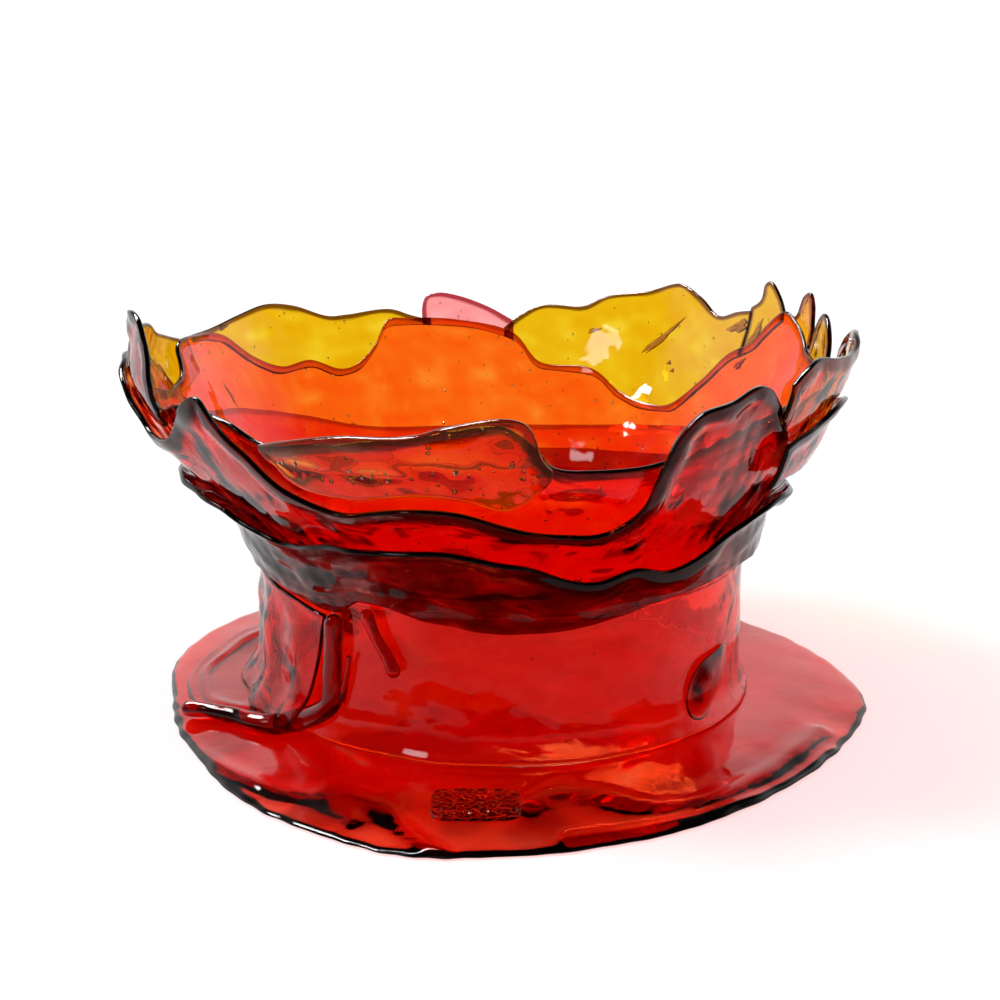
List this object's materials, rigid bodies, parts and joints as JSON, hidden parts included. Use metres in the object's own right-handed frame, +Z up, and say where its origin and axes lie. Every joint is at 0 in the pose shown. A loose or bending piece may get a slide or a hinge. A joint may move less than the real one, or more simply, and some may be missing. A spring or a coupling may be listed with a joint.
{
  "type": "footed art glass bowl",
  "caption": "Wide footed bowl of overlapping translucent glass pours, red at the foot and stem, orange and yellow at a ragged beaded rim, on a flat irregular disc.",
  "frame": {"origin": "on the foot's flat underside, on the stem's axis", "axes": "+Z up out of the bowl, -Y towards the front, +X to the right seen from the front"},
  "size_m": [0.2835, 0.2821, 0.1593],
  "materials": {
    "red_glass": "clear glossy, fire-polished, deep red",
    "orange_glass": "clear glossy, orange, with small bubbles",
    "yellow_glass": "clear glossy, lemon to olive yellow",
    "amber_glass": "clear glossy, streaked amber and brown",
    "pink_glass": "clear glossy, pink red"
  },
  "bodies": {
    "root": {"foot_disc": "red_glass", "stem_wall": "red_glass", "left_stem_pour": "red_glass", "left_foot_tongue": "red_glass", "long_drip": "red_glass", "middle_drip": "red_glass", "small_drip": "red_glass", "stem_side_fold": "red_glass", "plain_mark_pad": "red_glass", "skirt_layer": "red_glass", "outer_red_layer": "red_glass", "left_rim_tip": "red_glass", "right_low_ear": "red_glass", "inner_orange_layer": "orange_glass", "amber_front_patch": "amber_glass", "right_wave_ear": "amber_glass", "yellow_left_patch": "yellow_glass", "yellow_back_left_patch": "yellow_glass", "yellow_back_right_patch": "yellow_glass", "yellow_tip_a": "yellow_glass", "yellow_tip_b": "yellow_glass", "yellow_tip_c": "yellow_glass", "pink_back_tab": "pink_glass"}
  },
  "joints": []
}
